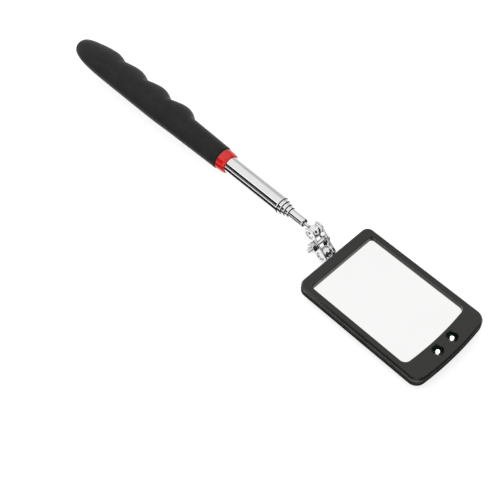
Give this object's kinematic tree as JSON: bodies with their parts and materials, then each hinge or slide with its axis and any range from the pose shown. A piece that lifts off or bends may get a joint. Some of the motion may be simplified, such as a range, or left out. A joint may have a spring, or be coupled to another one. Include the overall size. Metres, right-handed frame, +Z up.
{
  "type": "telescoping inspection mirror",
  "caption": "Pocket inspection mirror: a lighted rectangular mirror head on a double ball joint at the end of a telescoping chrome wand with a scalloped rubber grip.",
  "frame": {"origin": "centre of the bounding box in X and Y, on the plane of the flat back of the mirror head", "axes": "+X along the wand from the grip to the mirror head, +Y towards the finger bumps, +Z up, out of the mirror face"},
  "size_m": [0.2971, 0.054, 0.0242],
  "materials": {
    "black_rubber": "matte, soft to the touch",
    "red_plastic": "glossy",
    "chrome": "bright polished plating",
    "bronze": "satin spring bronze",
    "steel": "satin, nickel plated",
    "case_plastic": "fine moulded texture",
    "inner_plastic": "plain moulded",
    "mirror": "silvered glass",
    "foam": "open-cell adhesive foam",
    "clear_lens": "clear moulded lens",
    "board": "solder mask",
    "ceramic": "moulded body"
  },
  "bodies": {
    "grip": {"grip_sleeve": "black_rubber", "red_collar": "red_plastic", "tube_1": "chrome", "tube_end_plug": "inner_plastic"},
    "tube_2": {"tube_2": "chrome", "friction_sleeve_2": "bronze"},
    "tube_3": {"tube_3": "chrome", "friction_sleeve_3": "bronze"},
    "tube_4": {"tube_4": "chrome", "friction_sleeve_4": "bronze"},
    "tube_5": {"tube_5": "chrome", "friction_sleeve_5": "bronze", "stem_bush": "bronze"},
    "wand_stem": {"wand_stem": "chrome"},
    "wand_ball": {"wand_ball": "chrome"},
    "link": {"clamp_plate_left": "chrome", "clamp_plate_right": "chrome", "clamp_screw": "chrome", "clamp_nut": "chrome", "lock_washer": "steel"},
    "head_ball": {"head_ball": "chrome"},
    "head_stem": {"head_stem": "chrome"},
    "head": {"stem_washer": "steel", "stem_bearing": "bronze", "front_bezel": "case_plastic", "rear_shell": "case_plastic", "mirror_glass": "mirror", "mirror_pad": "foam", "mirror_carrier": "inner_plastic", "lamp_left": "clear_lens", "lamp_right": "clear_lens", "circuit_board": "board", "resistor": "ceramic", "battery_cell_lower": "steel", "battery_cell_upper": "steel", "battery_holder": "inner_plastic", "upper_contact": "bronze", "switch_body": "inner_plastic", "case_screw_1": "steel", "case_screw_2": "steel", "case_screw_3": "steel", "case_screw_4": "steel"},
    "battery_door": {"battery_door": "case_plastic", "door_contact": "bronze"},
    "switch_slider": {"switch_slider": "inner_plastic"}
  },
  "joints": [
    {"name": "tube_2_slide", "type": "slide", "parent": "grip", "child": "tube_2", "axis": [1, 0, 0], "range_m": [0, 0.145]},
    {"name": "tube_3_slide", "type": "slide", "parent": "tube_2", "child": "tube_3", "axis": [1, 0, 0], "range_m": [0, 0.145]},
    {"name": "tube_4_slide", "type": "slide", "parent": "tube_3", "child": "tube_4", "axis": [1, 0, 0], "range_m": [0, 0.145]},
    {"name": "tube_5_slide", "type": "slide", "parent": "tube_4", "child": "tube_5", "axis": [1, 0, 0], "range_m": [0, 0.145]},
    {"name": "wand_roll", "type": "hinge", "parent": "tube_5", "child": "wand_stem", "pos_m": [0.05064, 0.001, 0.01609], "axis": [1, 0, 0], "continuous": true},
    {"name": "wand_tilt", "type": "hinge", "parent": "wand_stem", "child": "wand_ball", "pos_m": [0.05064, 0.001, 0.01609], "axis": [0, 0, 1], "range_deg": [-23, 23]},
    {"name": "link_swing", "type": "hinge", "parent": "wand_ball", "child": "link", "pos_m": [0.05064, 0.001, 0.01609], "axis": [0, 1, 0], "range_deg": [-139, 40]},
    {"name": "head_swing", "type": "hinge", "parent": "link", "child": "head_ball", "pos_m": [0.0596, 0.001, 0.0056], "axis": [0, -1, 0], "range_deg": [-139, 40]},
    {"name": "head_tilt", "type": "hinge", "parent": "head_ball", "child": "head_stem", "pos_m": [0.0596, 0.001, 0.0056], "axis": [0, 0, 1], "range_deg": [-23, 23]},
    {"name": "head_roll", "type": "hinge", "parent": "head_stem", "child": "head", "pos_m": [0.0656, 0.001, 0.0056], "axis": [1, 0, 0], "continuous": true},
    {"name": "battery_door_turn", "type": "hinge", "parent": "head", "child": "battery_door", "pos_m": [0.0996, 0, 0], "axis": [0, 0, 1], "range_deg": [0, 60]},
    {"name": "lamp_switch", "type": "slide", "parent": "head", "child": "switch_slider", "axis": [1, 0, 0], "range_m": [0, 0.0024]}
  ]
}
